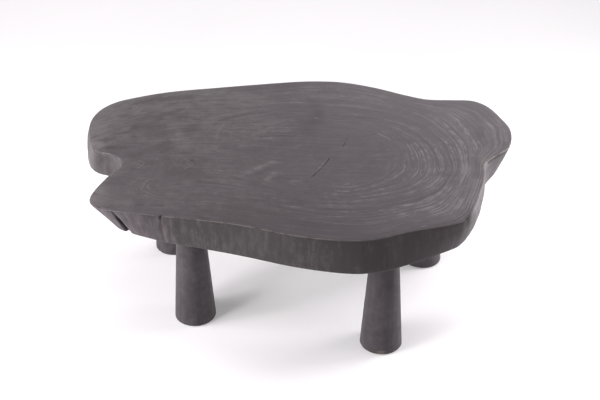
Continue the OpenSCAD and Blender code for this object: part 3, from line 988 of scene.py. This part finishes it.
def build_leg(place, centre, material):
    """Turned cone with slight tool flats, on its own axis, with the bolt's bore in its top."""
    profile, turned = leg_profile()
    n = LEG_COLUMNS
    turn = np.arange(n) / n
    flats = ripples(turn, 3, 30, 0.7)
    twist = ripples(turn, 2, 16, 0.6)
    centre = np.array(centre, float) - MIDDLE
    angle = TURN * turn
    rings, worn = [], []
    # The profile's two ends are on the axis, and so single points
    for k, (r, z) in enumerate(profile[1:-1], 1):
        out = np.full(n, r)
        wear = np.zeros(n)
        if k >= turned:
            high = (z - FOOT_Z) / (SLAB_Z - FOOT_Z)
            fade = min(1.0, 6 * (1 - high) + 0.15)
            out = out + fade * (0.35 * flats + 0.35 * (high - 0.5) * twist
                                + 0.12 * math.sin(z / 7.3) * math.sin(z / 31))
            out -= SKIM
            if place == CHIP_LEG:
                chip = bump(turn, *CHIP_TURN) * bump(z, *CHIP_HEIGHT)
                out -= 2.2 * chip
                wear = np.clip(1.5 * chip, 0, 1)
        rings.append(np.column_stack([
            centre[0] + out * np.cos(angle), centre[1] + out * np.sin(angle), np.full(n, z)]))
        worn.append(wear)
    ends = [[[*centre, profile[end][1]]] for end in (0, -1)]

    total = len(rings) * n
    faces = []
    for k in range(len(rings) - 1):
        faces += ring_quads(k, k + 1, n)
    faces += fan(total, 0, n) + fan(total + 1, total - n, n, back=True)
    leg = new_mesh(f"leg_{place}_visual", np.concatenate(rings + ends), faces, material)
    shade = np.zeros((total + 2, 3))
    shade[:total, 2] = np.concatenate(worn)
    put_corners(leg.data, "shade", shade[corner_points(leg.data)])
    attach(leg, "root")
    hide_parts(f"leg_{place}")
    return leg


# The whole table

build_slab(slab_wood())
leg_finish = leg_wood()
for leg_place, leg_centre in LEGS.items():
    build_leg(leg_place, leg_centre, leg_finish)

hardware = {
    "bolt": metal("bolt_steel", (0.62, 0.62, 0.63), (0.40, 0.40, 0.42), 0.32),
    "insert": metal("insert_zinc", (0.62, 0.58, 0.42), (0.42, 0.38, 0.26), 0.42),
    "pad": felt(),
}
for kind, finish in hardware.items():
    for leg_place in LEGS:
        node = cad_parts[f"{kind}_{leg_place}"]
        node.data.materials.clear()
        node.data.materials.append(finish)

# Floor, world and lamps

# Half the floor's width in mm, and how much the paper glows
FLOOR_HALF = 9000
FLOOR_GLOW = 0.20


def seen(tree):
    """1 for rays that should meet the white studio: from the camera, or by a mirror or glass."""
    path = tree.node("ShaderNodeLightPath").outputs
    either = tree.math("MAXIMUM", path["Is Camera Ray"], path["Is Glossy Ray"])
    return tree.math("MAXIMUM", either, path["Is Transmission Ray"])


def floor_paper():
    """White studio paper, which glows a little to come out nearly white."""
    tree = Tree("floor_paper")
    places = tree.places()
    cloud = tree.noise(places, 1.3, 3.0)
    colour = tree.colours(cloud, [(0.3, (0.87, 0.862, 0.868)), (0.7, (0.91, 0.902, 0.908))])
    surface = tree.node("ShaderNodeBsdfPrincipled", {"Base Color": colour, "Roughness": 0.9})
    surface.inputs["Specular IOR Level"].default_value = 0.1
    glow = tree.node(
        "ShaderNodeEmission",
        {"Color": (1, 0.99, 0.995, 1), "Strength": tree.times(seen(tree), FLOOR_GLOW)})
    both = tree.node("ShaderNodeAddShader", {0: surface.outputs[0], 1: glow.outputs[0]})
    tree.node("ShaderNodeOutputMaterial", {"Surface": both.outputs[0]})
    return tree.owner


floor_corners = [(FLOOR_HALF * x, FLOOR_HALF * y, 0) for x, y in ((-1, -1), (1, -1), (1, 1), (-1, 1))]
floor = new_mesh("floor", floor_corners, [(0, 1, 2, 3)], floor_paper())

world = bpy.data.worlds.new("studio")
bpy.context.scene.world = world
sky = Tree("studio", world)
# The studio's walls give no light of their own
unlit = sky.node("ShaderNodeBackground", {"Strength": 0.0})
white = sky.node("ShaderNodeBackground", {"Color": (1, 1, 1, 1), "Strength": 1.0})
both = sky.node("ShaderNodeMixShader", {0: seen(sky), 1: unlit.outputs[0], 2: white.outputs[0]})
sky.node("ShaderNodeOutputWorld", {"Surface": both.outputs[0]})


def lamp(name, kind, power, place, target=(0, 0, 0), size=(1, 1), colour=(1, 0.968, 0.99)):
    """Lamp at place in m that shines on target; size is a box's sides in m, or a sun's angle."""
    data = bpy.data.lights.new(name, kind)
    data.energy = power
    data.color = colour
    if kind == "AREA":
        data.shape = "RECTANGLE"
        data.size, data.size_y = size
    else:
        data.angle = math.radians(size[0])
    thing = bpy.data.objects.new(name, data)
    thing.location = place
    aim = np.array(target) - np.array(place)
    thing.rotation_euler = (math.atan2(math.hypot(aim[0], aim[1]), -aim[2]), 0,
                            math.atan2(-aim[0], aim[1]))
    thing.visible_camera = False
    bpy.context.scene.collection.objects.link(thing)
    return thing


lamp("overhead", "SUN", 2.25, (0.433, 0.25, 0.866), size=(60, 0))
lamp("left_sun", "SUN", 0.8, (-0.882, -0.287, 0.375), size=(16, 0))
lamp("left_box", "AREA", 20, (-2.0, -0.35, 0.95), (-0.2, -0.2, 0.25), (0.9, 0.7))
lamp("left_low_box", "AREA", 8, (-1.9, -0.75, 0.45), (-0.3, -0.15, 0.2), (0.8, 0.5))
lamp("front_left_box", "AREA", 23, (-1.5, -1.2, 0.75), (-0.25, -0.15, 0.15), (0.5, 0.4))
lamp("right_box", "AREA", 29, (1.8, 0.35, 0.40), (0.3, -0.1, 0.2), (0.8, 0.5))
lamp("front_right_box", "AREA", 6.5, (2.2, -1.0, 0.6), (0.3, -0.3, 0.2), (1.0, 0.7))
sheen = lamp("back_box", "AREA", 13, (0.9, 1.9, 1.3), (0.3, 0.2, 0.4), (1.5, 0.9))
sheen.visible_diffuse = False

# Camera

# Place in m and tilt from straight down, as solved from the photograph, with a lens of 70 mm
CAMERA_AT = (0.007585, -2.59325, 1.965)
CAMERA_TILT = 56.9
CAMERA_LENS = 70
SENSOR_WIDTH = 36

lens = bpy.data.cameras.new("camera")
lens.lens = CAMERA_LENS
lens.sensor_width = SENSOR_WIDTH
lens.sensor_fit = "HORIZONTAL"
camera = bpy.data.objects.new("camera", lens)
camera.location = CAMERA_AT
camera.rotation_euler = (math.radians(CAMERA_TILT), 0, 0)
bpy.context.scene.collection.objects.link(camera)
bpy.context.scene.camera = camera
bpy.context.scene.view_settings.view_transform = "Standard"
